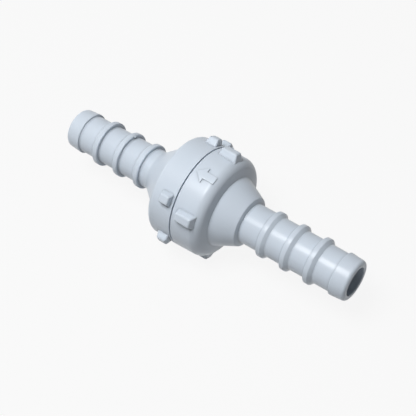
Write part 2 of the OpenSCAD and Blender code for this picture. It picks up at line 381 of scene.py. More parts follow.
FINISHES: dict[Slot, Finish] = {
    Slot.GREY: Moulding(
        colour=(0.590, 0.655, 0.735),
        cloud=(0.570, 0.637, 0.715),
        # The crease colour is shade painted into the creases.
        crease=(0.02, 0.026, 0.034),
        roughness=0.30,
    ),
    Slot.WHITE: Moulding(
        colour=(0.86, 0.86, 0.83),
        cloud=(0.82, 0.82, 0.79),
        # The crease colour is shade painted into the creases.
        crease=(0.30, 0.30, 0.28),
        roughness=0.42,
    ),
    Slot.RUBBER: Rubber(),
    Slot.STEEL: DrawnWire(),
}


class Paint:
    """The made materials, one for each slot of the record."""

    def __init__(self) -> None:
        """Builds each slot's material."""
        self.pots = {slot: self._mix(slot, finish) for slot, finish in FINISHES.items()}

    def _mix(self, slot: Slot, finish: Finish) -> bpy.types.Material:
        """Makes one material.

        Args:
            slot: The slot that it is for.
            finish: The finish that builds its shader.

        Returns:
            The material.
        """
        material = bpy.data.materials.new(slot.value)
        graph = Graph(material)
        graph.node("ShaderNodeOutputMaterial", {}, {"Surface": finish.surface(graph)})
        return material


@dataclass(frozen=True)
class Corner:
    """A corner of a turned outline: its radius, its place on the axis and its rounding."""

    r: float
    x: float
    rounding: float = 0.0

    def point(self) -> Vector:
        """The corner in the plane above the flow axis, in metres."""
        return Vector((self.x, 0, self.r)) * MM

    def cut(self, before: "Corner", after: "Corner") -> tuple[float, int]:
        """Works out the bevel that rounds this corner.

        Args:
            before: The corner before this one.
            after: The corner after it.

        Returns:
            How far the rounding reaches along each side, in metres, and its segments.
        """
        back = before.point() - self.point()
        ahead = after.point() - self.point()
        opening = back.angle(ahead)
        steps = max(LEAST_ARC_STEPS, math.ceil((math.pi - opening) / ARC_STEP))
        return self.rounding * MM / math.tan(opening / 2), steps


class Workpiece:
    """A mesh object on the bench, shaped in edit mode and finished with modifiers."""

    def __init__(self, name: str, primitive: Callable[..., set[str]], **sizes: Any) -> None:
        """Starts from a primitive.

        Args:
            name: The piece's name.
            primitive: What adds the primitive, an operator for the most part.
            sizes: Its settings.
        """
        bpy.ops.object.select_all(action="DESELECT")
        primitive(**sizes)
        self.obj = bpy.context.object
        self.obj.name = self.obj.data.name = name

    def take(self) -> None:
        """Makes this the one selected and active object."""
        bpy.ops.object.select_all(action="DESELECT")
        self.obj.select_set(True)
        bpy.context.view_layer.objects.active = self.obj

    @contextmanager
    def edit(self) -> Iterator[None]:
        """Holds the piece in edit mode with everything selected at the start."""
        self.take()
        bpy.ops.object.mode_set(mode="EDIT")
        bpy.ops.mesh.select_mode(type=Pick.VERTS.value)
        bpy.ops.mesh.select_all(action="SELECT")
        yield
        bpy.ops.object.mode_set(mode="OBJECT")

    def pick(self, kind: Pick, test: Callable[[Vector], bool]) -> None:
        """Selects what lies where the test says, and nothing else, in edit mode.

        Args:
            kind: Whether vertices, edges or faces are picked.
            test: Takes the middle of one of them, in metres, and says whether it is picked.
        """
        bpy.ops.mesh.select_mode(type=kind.value)
        bpy.ops.mesh.select_all(action="DESELECT")
        mesh = bmesh.from_edit_mesh(self.obj.data)
        if kind is Pick.VERTS:
            found = [v for v in mesh.verts if test(v.co)]
        elif kind is Pick.EDGES:
            found = [e for e in mesh.edges if test((e.verts[0].co + e.verts[1].co) / 2)]
        else:
            found = [f for f in mesh.faces if test(f.calc_center_median())]
        for element in found:
            element.select_set(True)
        bmesh.update_edit_mesh(self.obj.data)

    def modify(self, kind: str, **settings: Any) -> None:
        """Adds a modifier and applies it.

        Args:
            kind: The modifier's type.
            settings: Its properties.
        """
        self.take()
        modifier = self.obj.modifiers.new(kind.title(), kind)
        for name, value in settings.items():
            setattr(modifier, name, value)
        bpy.ops.object.modifier_apply(modifier=modifier.name)

    def join(self, other: "Workpiece", operation: str = "UNION") -> None:
        """Unites this piece with another, or cuts it by the other, which is used up.

        Args:
            other: The other piece.
            operation: The Boolean modifier's operation.
        """
        self.modify("BOOLEAN", operation=operation, solver="EXACT", object=other.obj)
        bpy.data.objects.remove(other.obj)

    def turn(self, degrees: float) -> None:
        """Turns the piece about the flow axis.

        Args:
            degrees: How far it turns, from the top towards -Y.
        """
        self.obj.rotation_euler.x = math.radians(degrees)
        self.take()
        bpy.ops.object.transform_apply(location=True, rotation=True, scale=True)

    def close(self) -> None:
        """Welds the piece's seams and turns its faces outwards."""
        with self.edit():
            bpy.ops.mesh.remove_doubles(threshold=WELD)
            bpy.ops.mesh.normals_make_consistent(inside=False)

    def deliver(self, paint: Paint, slot: Slot, body: str, node: str) -> None:
        """Finishes the piece and puts it in the place of its node.

        Args:
            paint: The made materials.
            slot: The slot that the piece takes its finish from.
            body: The body that it rides on.
            node: The node that it replaces.
        """
        self.take()
        bpy.ops.object.shade_smooth_by_angle(angle=SMOOTH_ANGLE)
        self.modify("WEIGHTED_NORMAL", keep_sharp=True, mode="FACE_AREA")
        self.obj.data.materials.clear()
        self.obj.data.materials.append(paint.pots[slot])
        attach(self.obj, body)
        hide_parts(node)
        triangles = sum(len(p.vertices) - 2 for p in self.obj.data.polygons)
        log.info("%s: %d triangles, on %s", self.obj.name, triangles, body)


def add_object(name: str, data: bpy.types.ID) -> bpy.types.Object:
    """Adds an object to the scene.

    Args:
        name: The object's name.
        data: The curve, camera or light that it shows.

    Returns:
        The object.
    """
    made = bpy.data.objects.new(name, data)
    bpy.context.scene.collection.objects.link(made)
    return made


def turned(name: str, corners: list[Corner]) -> Workpiece:
    """Turns a closed outline about the flow axis, as on a lathe.

    Args:
        name: The piece's name.
        corners: The outline's corners in order.

    Returns:
        The closed piece.
    """
    piece = Workpiece(name, bpy.ops.mesh.primitive_plane_add, size=MM)
    ahead = corners[1:] + corners[:1]
    behind = corners[-1:] + corners[:-1]
    with piece.edit():
        bpy.ops.mesh.merge(type="CENTER")
        bpy.ops.transform.translate(value=corners[0].point())
        for corner, after in zip(corners, ahead):
            step = after.point() - corner.point()
            bpy.ops.mesh.extrude_region_move(TRANSFORM_OT_translate={"value": step})
        bpy.ops.mesh.select_all(action="SELECT")
        bpy.ops.mesh.remove_doubles(threshold=WELD)
        for before, corner, after in zip(behind, corners, ahead):
            if corner.rounding:
                reach, steps = corner.cut(before, after)
                place = corner.point()
                piece.pick(Pick.VERTS, lambda at: (at - place).length < NEAR)
                bpy.ops.mesh.bevel(offset=reach, segments=steps, affect="VERTICES")
        bpy.ops.mesh.select_all(action="SELECT")
        bpy.ops.mesh.spin(steps=SPIN_STEPS, angle=FULL_TURN, center=(0, 0, 0), axis=(1, 0, 0))
    piece.close()
    return piece


def block(name: str, low: Vector, high: Vector) -> Workpiece:
    """Starts a piece from a rectangular block.

    Args:
        name: The piece's name.
        low: Its lowest corner in millimetres.
        high: Its highest corner in millimetres.

    Returns:
        The block, with its place in its mesh.
    """
    piece = Workpiece(name, bpy.ops.mesh.primitive_cube_add, size=1)
    with piece.edit():
        bpy.ops.transform.resize(value=(high - low) * MM)
        bpy.ops.transform.translate(value=(high + low) / 2 * MM)
    return piece


@dataclass(frozen=True)
class Side:
    """One half's direction along the flow axis, from the parting plane to its mouth."""

    parting: float
    sign: int
    length: float

    def x(self, distance: float) -> float:
        """The place on the axis at a distance from the parting plane."""
        return self.parting + self.sign * distance

    def corners(self, outline: list[Corner]) -> list[Corner]:
        """Moves an outline of distances to its places on the axis."""
        return [Corner(c.r, self.x(c.x), c.rounding) for c in outline]


@dataclass(frozen=True)
class HoseTail:
    """The ringed tail that both halves have."""

    root_r: float = 6.25
    draft: float = 0.5
    bore_r: float = 4.4
    ring_r: float = 7.25
    ring_count: int = 3
    ring_pitch: float = 8.0
    ring_land: float = 1.5
    ring_ramp: float = 1.0
    ring_edge: float = 0.3
    collar_r: float = 6.65
    collar_front_r: float = 6.25
    nose_length: float = 5.0
    nose_edge: float = 1.0
    mouth_edge: float = 0.35

    def root(self, past: float) -> float:
        """Radius between the rings, at a distance past the first ring."""
        return self.root_r - math.tan(math.radians(self.draft)) * past

    def first(self, side: Side) -> float:
        """Distance of the first ring from the parting plane."""
        return side.length - self.ring_count * self.ring_pitch - self.nose_length

    def outline(self, side: Side) -> list[Corner]:
        """Lists the corners from the first ring to the mouth.

        Args:
            side: The half that the tail is on.

        Returns:
            The corners, with distances from the parting plane.
        """
        first = self.first(side)
        foot = self.ring_edge / 2
        slope_end = self.ring_land + self.ring_ramp
        found: list[Corner] = []
        for ring in range(self.ring_count):
            past = ring * self.ring_pitch
            found += [
                Corner(self.root(past), first + past, foot),
                Corner(self.ring_r, first + past, self.ring_edge),
                Corner(self.ring_r, first + past + self.ring_land, self.ring_edge),
                Corner(self.root(past + slope_end), first + past + slope_end, foot),
            ]
        collar = self.ring_count * self.ring_pitch
        return found + [
            Corner(self.root(collar), first + collar, foot),
            Corner(self.collar_r, first + collar, self.ring_edge),
            Corner(self.collar_front_r, side.length, self.nose_edge),
            Corner(self.bore_r, side.length, self.mouth_edge),
        ]


@dataclass(frozen=True)
class Drum:
    """The drum that the two halves form, with its lugs."""

    radius: float = 16.1
    draft: float = 1.5
    crease: float = 0.25
    root_depth: float = 0.9
    lug_height: float = 1.9
    lug_width: float = 4.0
    lug_crest: float = 2.6
    lug_edge: float = 0.5
    lug_edge_steps: int = 5
    lug_near_slope: float = 0.3
    lug_far_slope: float = 0.5

    def radius_at(self, distance: float) -> float:
        """Radius at a distance from the parting plane."""
        return self.radius - math.tan(math.radians(self.draft)) * distance

    def shoulder_corners(
        self, width: float, cone_r: float, lean: float, rounding: float
    ) -> list[Corner]:
        """Lists the corners at the outer end of one half's drum.

        Args:
            width: Distance of the cone's root from the parting plane.
            cone_r: The cone's radius there.
            lean: The face's lean from upright in degrees.
            rounding: The shoulder's rounding.

        Returns:
            The shoulder's corner and the crease's.
        """
        edge = width - (self.radius_at(width) - cone_r) * math.tan(math.radians(lean))
        return [
            Corner(self.radius_at(edge), edge, rounding),
            Corner(cone_r, width, self.crease),
        ]

    def lug(self, side: Side, start: float, length: float, turn: float) -> Workpiece:
        """Models one lug from a block, drafted and rounded, with its foot in the drum's wall.

        Args:
            side: The half that it stands on.
            start: Its distance from the parting plane.
            length: Its length along the drum.
            turn: Its turn from the top.

        Returns:
            The lug in its place.
        """
        deep = 1 + self.root_depth / self.lug_height
        near = side.x(start) - side.sign * self.lug_near_slope * (deep - 1)
        far = side.x(start + length) + side.sign * self.lug_far_slope * (deep - 1)
        half = (self.lug_crest + (self.lug_width - self.lug_crest) * deep) / 2
        foot = self.radius - self.root_depth
        crest = self.radius + self.lug_height
        low = Vector((min(near, far), -half, foot))
        high = Vector((max(near, far), half, crest))
        piece = block("lug", low, high)
        crest_near = side.x(start + self.lug_near_slope)
        crest_far = side.x(start + length - self.lug_far_slope)
        middle = Vector(((near + far) / 2, 0, crest)) * MM
        narrowing = (abs(crest_far - crest_near) / abs(far - near), self.lug_crest / (2 * half), 1)
        with piece.edit():
            piece.pick(Pick.FACES, lambda at: at.z > crest * MM - NEAR)
            bpy.ops.transform.resize(value=narrowing, center_override=middle)
            shift = ((crest_near + crest_far) - (near + far)) / 2 * MM
            bpy.ops.transform.translate(value=(shift, 0, 0))
            piece.pick(Pick.EDGES, lambda at: at.z > (foot + self.root_depth / 2) * MM)
            bpy.ops.mesh.bevel(
                offset=self.lug_edge * MM, segments=self.lug_edge_steps, affect="EDGES"
            )
        piece.close()
        piece.turn(turn)
        return piece


@dataclass(frozen=True)
class Thread:
    """The round of thread between the halves, cut as a helical groove."""

    pitch: float = 1.5
    depth: float = 0.5
    root_width: float = 0.5
    mouth_width: float = 1.15
    overshoot: float = 0.2
    steps: int = 96

    def cutter(
        self, side: Side, wall: float, outward: bool, start: float, end: float
    ) -> Workpiece:
        """Models the groove's solid.

        Args:
            side: The half whose wall it cuts.
            wall: The radius of the wall.
            outward: Whether the groove goes outwards from the wall.
            start: The groove's first distance from the parting plane.
            end: Its last distance.

        Returns:
            The solid in its place.
        """
        sign = 1 if outward else -1
        low = wall - sign * self.overshoot
        high = wall + sign * self.depth
        flare = self.mouth_width * (1 + self.overshoot / self.depth) - (
            self.root_width * self.overshoot / self.depth
        )
        x = side.x(start)
        section = Workpiece("thread_groove", bpy.ops.mesh.primitive_plane_add, size=MM)
        places = [(low, -flare), (low, flare), (high, self.root_width), (high, -self.root_width)]
        with section.edit():
            bpy.ops.mesh.merge(type="CENTER")
            at = Vector()
            for number, (r, across) in enumerate(places + places[:1]):
                point = Vector((x + across / 2, 0, r)) * MM
                if number == 0:
                    bpy.ops.transform.translate(value=point)
                else:
                    bpy.ops.mesh.extrude_region_move(TRANSFORM_OT_translate={"value": point - at})
                at = point
            bpy.ops.mesh.select_all(action="SELECT")
            bpy.ops.mesh.remove_doubles(threshold=WELD)
        turns = (end - start) / self.pitch
        steps = math.ceil(self.steps * turns)
        section.modify(
            "SCREW",
            axis="X",
            angle=FULL_TURN * turns,
            screw_offset=side.sign * (end - start) * MM,
            steps=steps,
            render_steps=steps,
            use_merge_vertices=False,
        )
        with section.edit():
            bpy.ops.mesh.fill_holes(sides=len(places))
        section.close()
        return section


@dataclass(frozen=True)
class GateMark:
    """The small round stub that a mould's gate or vent leaves."""

    distance: float
    r: float
    turn: float
    size: float = 0.35
    segments: int = 16
    rings: int = 8

    def build(self, side: Side) -> Workpiece:
        """Models the stub.

        Args:
            side: The half that it is on.

        Returns:
            The stub in its place, sunk half into the wall.
        """
        mark = Workpiece(
            "gate_mark",
            bpy.ops.mesh.primitive_uv_sphere_add,
            radius=self.size * MM,
            segments=self.segments,
            ring_count=self.rings,
        )
        with mark.edit():
            bpy.ops.transform.translate(value=Vector((side.x(self.distance), 0, self.r)) * MM)
        mark.turn(self.turn)
        return mark


@dataclass
class InletHalf:
    """The half that the water enters: long lugs, the flow arrow, a stepped cone and the seat."""

    side: Side
    drum: Drum
    tail: HoseTail
    drum_width: float = 9.9
    face_lean: float = 12.0
    shoulder: float = 3.0
    rim: float = 0.35
    cone_r: float = 11.1
    cone_tip_r: float = 7.8
    cone_end: float = 16.8
    cone_tip_edge: float = 0.5
    step_length: float = 0.4
    step_foot: float = 0.12
    port_r: float = 5.6
    port_length: float = 5.4
    throat_length: float = 2.4
    throat_edge: float = 0.9
    seat_depth: float = 6.6
    seat_width: float = 0.6
    seat_height: float = 0.6
    seat_foot: float = 0.15
    chamber_r: float = 11.7
    chamber_edge: float = 0.8
    socket_r: float = 13.4
    socket_depth: float = 4.9
    lead_in: float = 0.4
    lug_count: int = 4
    lug_gap: float = 1.85
    lug_length: float = 5.9
    lug_turn: float = 58.3
    mark: GateMark = GateMark(distance=4.07, r=17.75, turn=-36.2, size=0.42)
    thread: Thread = Thread()
    thread_end: float = 3.4

    def outline(self) -> list[Corner]:
        """Lists the half's corners, outside first.

        Returns:
            The corners, with distances from the parting plane.
        """
        port_end = self.seat_depth + self.port_length
        floor = self.seat_depth + self.seat_height
        seat_foot_r = self.port_r + self.seat_width + self.seat_height / 2
        outside = [
            Corner(self.socket_r + self.lead_in, 0),
            Corner(self.drum.radius, 0, self.rim),
            *self.drum.shoulder_corners(
                self.drum_width, self.cone_r, self.face_lean, self.shoulder
            ),
            Corner(self.cone_tip_r, self.cone_end, self.cone_tip_edge),
            Corner(self.tail.root_r, self.cone_end + self.step_length, self.step_foot),
            *self.tail.outline(self.side),
        ]
        inside = [
            Corner(self.tail.bore_r, port_end + self.throat_length, self.throat_edge),
            Corner(self.port_r, port_end, self.throat_edge),
            Corner(self.port_r, self.seat_depth),
            Corner(self.port_r + self.seat_width, self.seat_depth),
            Corner(seat_foot_r, floor, self.seat_foot),
            Corner(self.chamber_r, floor, self.chamber_edge),
            Corner(self.chamber_r, self.socket_depth),
            Corner(self.socket_r, self.socket_depth),
            Corner(self.socket_r, self.lead_in),
        ]
        return outside + inside

    def build(self, paint: Paint) -> None:
        """Models and dresses the half, with the arrow laid on the drum while it is bare.

        Args:
            paint: The made materials.
        """
        body = turned("inlet_body_moulding", self.side.corners(self.outline()))
        arrow = FlowArrow(self.side, self.drum).build(body)
        for number in range(self.lug_count):
            turn = self.lug_turn + number * 360 / self.lug_count
            body.join(self.drum.lug(self.side, self.lug_gap, self.lug_length, turn))
        body.join(arrow)
        body.join(self.mark.build(self.side))
        start = -self.thread.pitch
        groove = self.thread.cutter(self.side, self.socket_r, True, start, self.thread_end)
        body.join(groove, "DIFFERENCE")
        body.deliver(paint, Slot.GREY, "inlet_half", "inlet_body")


@dataclass
class OutletHalf:
    """The half that the water leaves: short lugs, a hollow-sided cone and the screwed spigot."""

    side: Side
    drum: Drum
    tail: HoseTail
    drum_width: float = 9.8
    face_lean: float = 20.0
    shoulder: float = 1.6
    groove_depth: float = 1.2
    groove_width: float = 0.3
    rim: float = 0.15
    cone_r: float = 12.1
    cone_end: float = 17.0
    cone_hollow: float = 2.5
    throat_setback: float = 1.6
    throat_edge: float = 0.9
    ledge_r: float = 10.4
    ledge_depth: float = 6.0
    chamber_r: float = 11.7
    spigot_r: float = 13.3
    spigot_length: float = 3.6
    lead_in: float = 0.4
    lug_places: tuple[float, ...] = (0, 55, 180, 240, 270)
    lug_gap: float = 1.0
    lug_length: float = 3.8
    lug_turn: float = 48.8
    mark: GateMark = GateMark(distance=27.75, r=6.75, turn=-26.0)
    thread: Thread = Thread()
    thread_end: float = -0.9

    def outline(self) -> list[Corner]:
        """Lists the half's corners, outside first.

        Returns:
            The corners, with distances from the parting plane.
        """
        groove_r = self.drum.radius - self.groove_depth
        slope = (self.cone_end - self.drum_width) / (self.cone_r - self.tail.root_r)
        throat_end = self.cone_end - self.throat_setback
        throat_start = throat_end - (self.ledge_r - self.tail.bore_r) * slope
        outside = [
            Corner(self.spigot_r - self.lead_in, -self.spigot_length),
            Corner(self.spigot_r, self.lead_in - self.spigot_length),
            Corner(self.spigot_r, 0),
            Corner(groove_r, 0),
            Corner(groove_r, self.groove_width),
            Corner(self.drum.radius_at(self.groove_width), self.groove_width, self.rim),
            *self.drum.shoulder_corners(
                self.drum_width, self.cone_r, self.face_lean, self.shoulder
            ),
            Corner(self.tail.root_r, self.cone_end, self.cone_hollow),
            *self.tail.outline(self.side),
        ]
        inside = [
            Corner(self.tail.bore_r, throat_end, self.throat_edge),
            Corner(self.ledge_r, throat_start, self.throat_edge),
            Corner(self.ledge_r, self.ledge_depth),
            Corner(self.chamber_r, self.ledge_depth),
            Corner(self.chamber_r, -self.spigot_length),
        ]
        return outside + inside

    def build(self, paint: Paint) -> None:
        """Models and dresses the half.

        Args:
            paint: The made materials.
        """
        body = turned("outlet_body_moulding", self.side.corners(self.outline()))
        for place in self.lug_places:
            turn = self.lug_turn + place
            body.join(self.drum.lug(self.side, self.lug_gap, self.lug_length, turn))
        body.join(self.mark.build(self.side))
        start = -self.spigot_length - self.thread.pitch
        groove = self.thread.cutter(self.side, self.spigot_r, False, start, self.thread_end)
        body.join(groove, "DIFFERENCE")
        body.deliver(paint, Slot.GREY, "outlet_half", "outlet_body")


@dataclass
class FlowArrow:
    """The raised arrow on the inlet half's drum, which points to the parting plane."""

    side: Side
    drum: Drum
    gap: float = 1.3
    length: float = 6.2
    head_length: float = 2.8
    head_width: float = 5.1
    shaft_width: float = 2.3
    height: float = 0.35
    edge: float = 0.09
    edge_angle: float = 50.0
    strip: float = 0.3
    strip_shift: float = 1 / 3
    sheet_gap: float = 3.0
    turn: float = 8.8

    def build(self, body: Workpiece) -> Workpiece:
        """Models the arrow as a flat sheet, laid on the drum and thickened.

        Args:
            body: The half that it is laid on.

        Returns:
            The arrow in its place, with its foot in the drum's wall.
        """
        tip, tail = self.side.x(self.gap), self.side.x(self.gap + self.length)
        head = self.side.x(self.gap + self.head_length)
        half = self.head_width / 2
        above = self.drum.radius + self.sheet_gap
        arrow = Workpiece("flow_arrow", bpy.ops.mesh.primitive_plane_add, size=1)
        size = Vector((tail - tip, self.head_width, 1)) * MM
        lean = math.atan2(half, self.head_length)
        shaft = self.shaft_width / 2 * MM
        with arrow.edit():
            bpy.ops.transform.resize(value=size)
            bpy.ops.transform.translate(value=Vector(((tip + tail) / 2, 0, above)) * MM)
            for way in (1, -1):
                self._slice((tip, 0), (-math.sin(lean), way * math.cos(lean)), outer=True)
                self._slice((0, way * self.shaft_width / 2), (0, way))
            self._slice((head, 0), (1, 0))
            arrow.pick(Pick.FACES, lambda at: at.x > head * MM and abs(at.y) > shaft)
            bpy.ops.mesh.delete(type="FACE")
            strips = math.ceil(half / self.strip)
            for number in range(-strips, strips + 1):
                across = number * self.strip + self.strip * self.strip_shift
                self._slice((0, across), (0, 1))
            bpy.ops.mesh.select_all(action="SELECT")
            bpy.ops.mesh.remove_doubles(threshold=WELD)
        arrow.modify(
            "SHRINKWRAP",
            target=body.obj,
            wrap_method="PROJECT",
            use_project_z=True,
            use_negative_direction=True,
            use_positive_direction=False,
            wrap_mode="ABOVE_SURFACE",
            offset=self.height * MM,
        )
        arrow.modify("SOLIDIFY", thickness=(self.height + self.drum.root_depth) * MM, offset=-1)
        arrow.close()
        arrow.modify(
            "BEVEL",
            width=self.edge * MM,
            segments=EDGE_STEPS,
            angle_limit=math.radians(self.edge_angle),
        )
        arrow.turn(self.turn)
        return arrow

    def _slice(
        self, place: tuple[float, float], normal: tuple[float, float], outer: bool = False
    ) -> None:
        """Cuts the sheet along a line seen from above.

        Args:
            place: A point on the line, in millimetres.
            normal: The line's normal.
            outer: Whether what lies on the normal's side is thrown away.
        """
        bpy.ops.mesh.select_all(action="SELECT")
        bpy.ops.mesh.bisect(
            plane_co=(place[0] * MM, place[1] * MM, 0),
            plane_no=(*normal, 0),
            clear_outer=outer,
            use_fill=False,
        )


@dataclass
class BodySeal:
    """The O-ring squeezed between the spigot's end and the socket's floor."""

    side: Side
    section: float = 1.6
    height: float = 1.3
    start: float = 3.6
    inner_r: float = 11.7
    outer_r: float = 13.4
    ring_steps: int = 144
    section_steps: int = 28

    def build(self, paint: Paint) -> None:
        """Models the ring, flattens its two faces and dresses it.

        Args:
            paint: The made materials.
        """
        middle = self.side.x(self.start + self.height / 2) * MM
        flat = self.height / 2 * MM
        ring = Workpiece(
            "body_seal_ring",
            bpy.ops.mesh.primitive_torus_add,
            major_radius=(self.inner_r + self.outer_r) / 2 * MM,
            minor_radius=self.section / 2 * MM,
            major_segments=self.ring_steps,
            minor_segments=self.section_steps,
            rotation=(0, math.pi / 2, 0),
        )
        ring.obj.location.x = middle
        ring.take()
        bpy.ops.object.transform_apply(location=True, rotation=True, scale=True)
        with ring.edit():
            for way in (1, -1):
                face = middle + way * flat
                ring.pick(Pick.VERTS, lambda at: way * (at.x - face) > 0)
                bpy.ops.transform.resize(value=(0, 1, 1), center_override=(face, 0, 0))
        ring.close()
        ring.deliver(paint, Slot.RUBBER, "inlet_half", "body_seal")


@dataclass
class PoppetUnit:
    """The poppet with its washer, closed on the seat."""

    side: Side
    seat_depth: float = 6.6
    disc_r: float = 8.4
    disc_thickness: float = 1.6
    washer_r: float = 8.0
    washer_thickness: float = 1.2
    neck_r: float = 4.2
    lip_r: float = 4.9
    lip_thickness: float = 0.8
    boss_r: float = 3.65
    boss_thickness: float = 0.6
    stem_r: float = 1.5
    stem_length: float = 11.8
    stem_tip: float = 0.5
    vane_r: float = 5.45
    vane_length: float = 4.0
    vane_thickness: float = 1.2
    vane_chamfer: float = 1.0
    vane_edge: float = 0.18
    vane_turns: tuple[float, ...] = (0, 90)
    soft_edge: float = 0.2
    round_edge: float = 0.4

    def poppet_outline(self) -> list[Corner]:
        """Lists the poppet's corners, from the stem's tip to the lip.

        Returns:
            The corners, with distances from the parting plane.
        """
        front = self.seat_depth - self.washer_thickness
        back = front - self.disc_thickness
        boss = back - self.boss_thickness
        lip_end = self.seat_depth + self.lip_thickness
        return [
            Corner(0, back - self.stem_length),
            Corner(self.stem_r, back - self.stem_length, self.stem_tip),
            Corner(self.stem_r, boss, self.soft_edge),
            Corner(self.boss_r, boss, self.soft_edge),
            Corner(self.boss_r, back, self.soft_edge / 2),
            Corner(self.disc_r, back, self.round_edge),
            Corner(self.disc_r, front, self.soft_edge),
            Corner(self.neck_r, front),
            Corner(self.neck_r, self.seat_depth),
            Corner(self.lip_r, self.seat_depth, self.soft_edge / 2),
            Corner(self.neck_r, lip_end),
            Corner(0, lip_end),
        ]

    def vane(self, turn: float) -> Workpiece:
        """Models one of the crossed vanes that guide the poppet in its port.

        Args:
            turn: Its turn from upright.

        Returns:
            The vane in its place.
        """
        near = self.side.x(self.seat_depth + self.lip_thickness / 2)
        far = self.side.x(self.seat_depth + self.vane_length)
        half = self.vane_thickness / 2
        low, high = Vector((near, -half, -self.vane_r)), Vector((far, half, self.vane_r))
        plate = block("vane", low, high)
        end = far * MM
        rim = self.vane_r * MM - NEAR
        with plate.edit():
            plate.pick(Pick.EDGES, lambda at: at.x > end - NEAR and abs(at.z) > rim)
            bpy.ops.mesh.bevel(offset=self.vane_chamfer * MM, segments=1, affect="EDGES")
            bpy.ops.mesh.select_all(action="SELECT")
            bpy.ops.mesh.bevel(offset=self.vane_edge * MM, segments=EDGE_STEPS, affect="EDGES")
        plate.close()
        plate.turn(turn)
        return plate

    def build(self, paint: Paint) -> None:
        """Models and dresses the poppet and its washer.

        Args:
            paint: The made materials.
        """
        poppet = turned("poppet_moulding", self.side.corners(self.poppet_outline()))
        for turn in self.vane_turns:
            poppet.join(self.vane(turn))
        poppet.deliver(paint, Slot.WHITE, "poppet_unit", "poppet")
        front = self.seat_depth - self.washer_thickness
        washer = turned("poppet_washer", self.side.corners([
            Corner(self.neck_r, front),
            Corner(self.washer_r, front, self.soft_edge),
            Corner(self.washer_r, self.seat_depth, self.soft_edge),
            Corner(self.neck_r, self.seat_depth),
        ]))
        washer.deliver(paint, Slot.RUBBER, "poppet_unit", "poppet_seal")


@dataclass
class StemGuide:
    """The spoked guide that carries the spring and the poppet's stem."""

    side: Side
    ring_r: float = 11.6
    ring_width: float = 1.4
    thickness: float = 1.6
    ledge_depth: float = 6.0
    hub_r: float = 5.4
    tube_r: float = 3.2
    tube_length: float = 4.0
    hole_r: float = 1.6
    spoke_count: int = 4
    spoke_thickness: float = 1.2
    spoke_root: float = 0.4
    edge: float = 0.2

    def spoke(self, turn: float) -> Workpiece:
        """Models one spoke.

        Args:
            turn: Its turn from the top.

        Returns:
            The spoke in its place.
        """
        front, back = self.ledge_depth - self.thickness, self.ledge_depth
        start, end = sorted((self.side.x(front), self.side.x(back)))
        half = self.spoke_thickness / 2
        low = Vector((start, -half, self.hub_r - self.spoke_root))
        high = Vector((end, half, self.ring_r - self.ring_width + self.spoke_root))
        piece = block("spoke", low, high)
        middle = (start + end) / 2 * MM
        reach = self.thickness / 2 * MM - NEAR
        with piece.edit():
            piece.pick(
                Pick.EDGES,
                lambda at: abs(at.x - middle) > reach and abs(at.y) > half * MM - NEAR,
            )
            bpy.ops.mesh.bevel(offset=self.edge * MM, segments=EDGE_STEPS, affect="EDGES")
        piece.close()
        piece.turn(turn)
        return piece

    def build(self, paint: Paint) -> None:
        """Models and dresses the guide.

        Args:
            paint: The made materials.
        """
        front, back = self.ledge_depth - self.thickness, self.ledge_depth
        inner_r = self.ring_r - self.ring_width
        guide = turned("stem_guide_moulding", self.side.corners([
            Corner(inner_r, front, self.edge),
            Corner(self.ring_r, front, self.edge),
            Corner(self.ring_r, back, self.edge / 2),
            Corner(inner_r, back, self.edge),
        ]))
        hub = turned("hub", self.side.corners([
            Corner(self.hole_r, front - self.tube_length, self.edge / 2),
            Corner(self.tube_r, front - self.tube_length, self.edge),
            Corner(self.tube_r, front, self.edge),
            Corner(self.hub_r, front, self.edge),
            Corner(self.hub_r, back, self.edge),
            Corner(self.hole_r, back, self.edge / 2),
        ]))
        for number in range(self.spoke_count):
            hub.join(self.spoke(number * 360 / self.spoke_count))
        guide.join(hub)
        guide.deliver(paint, Slot.WHITE, "outlet_half", "stem_guide")


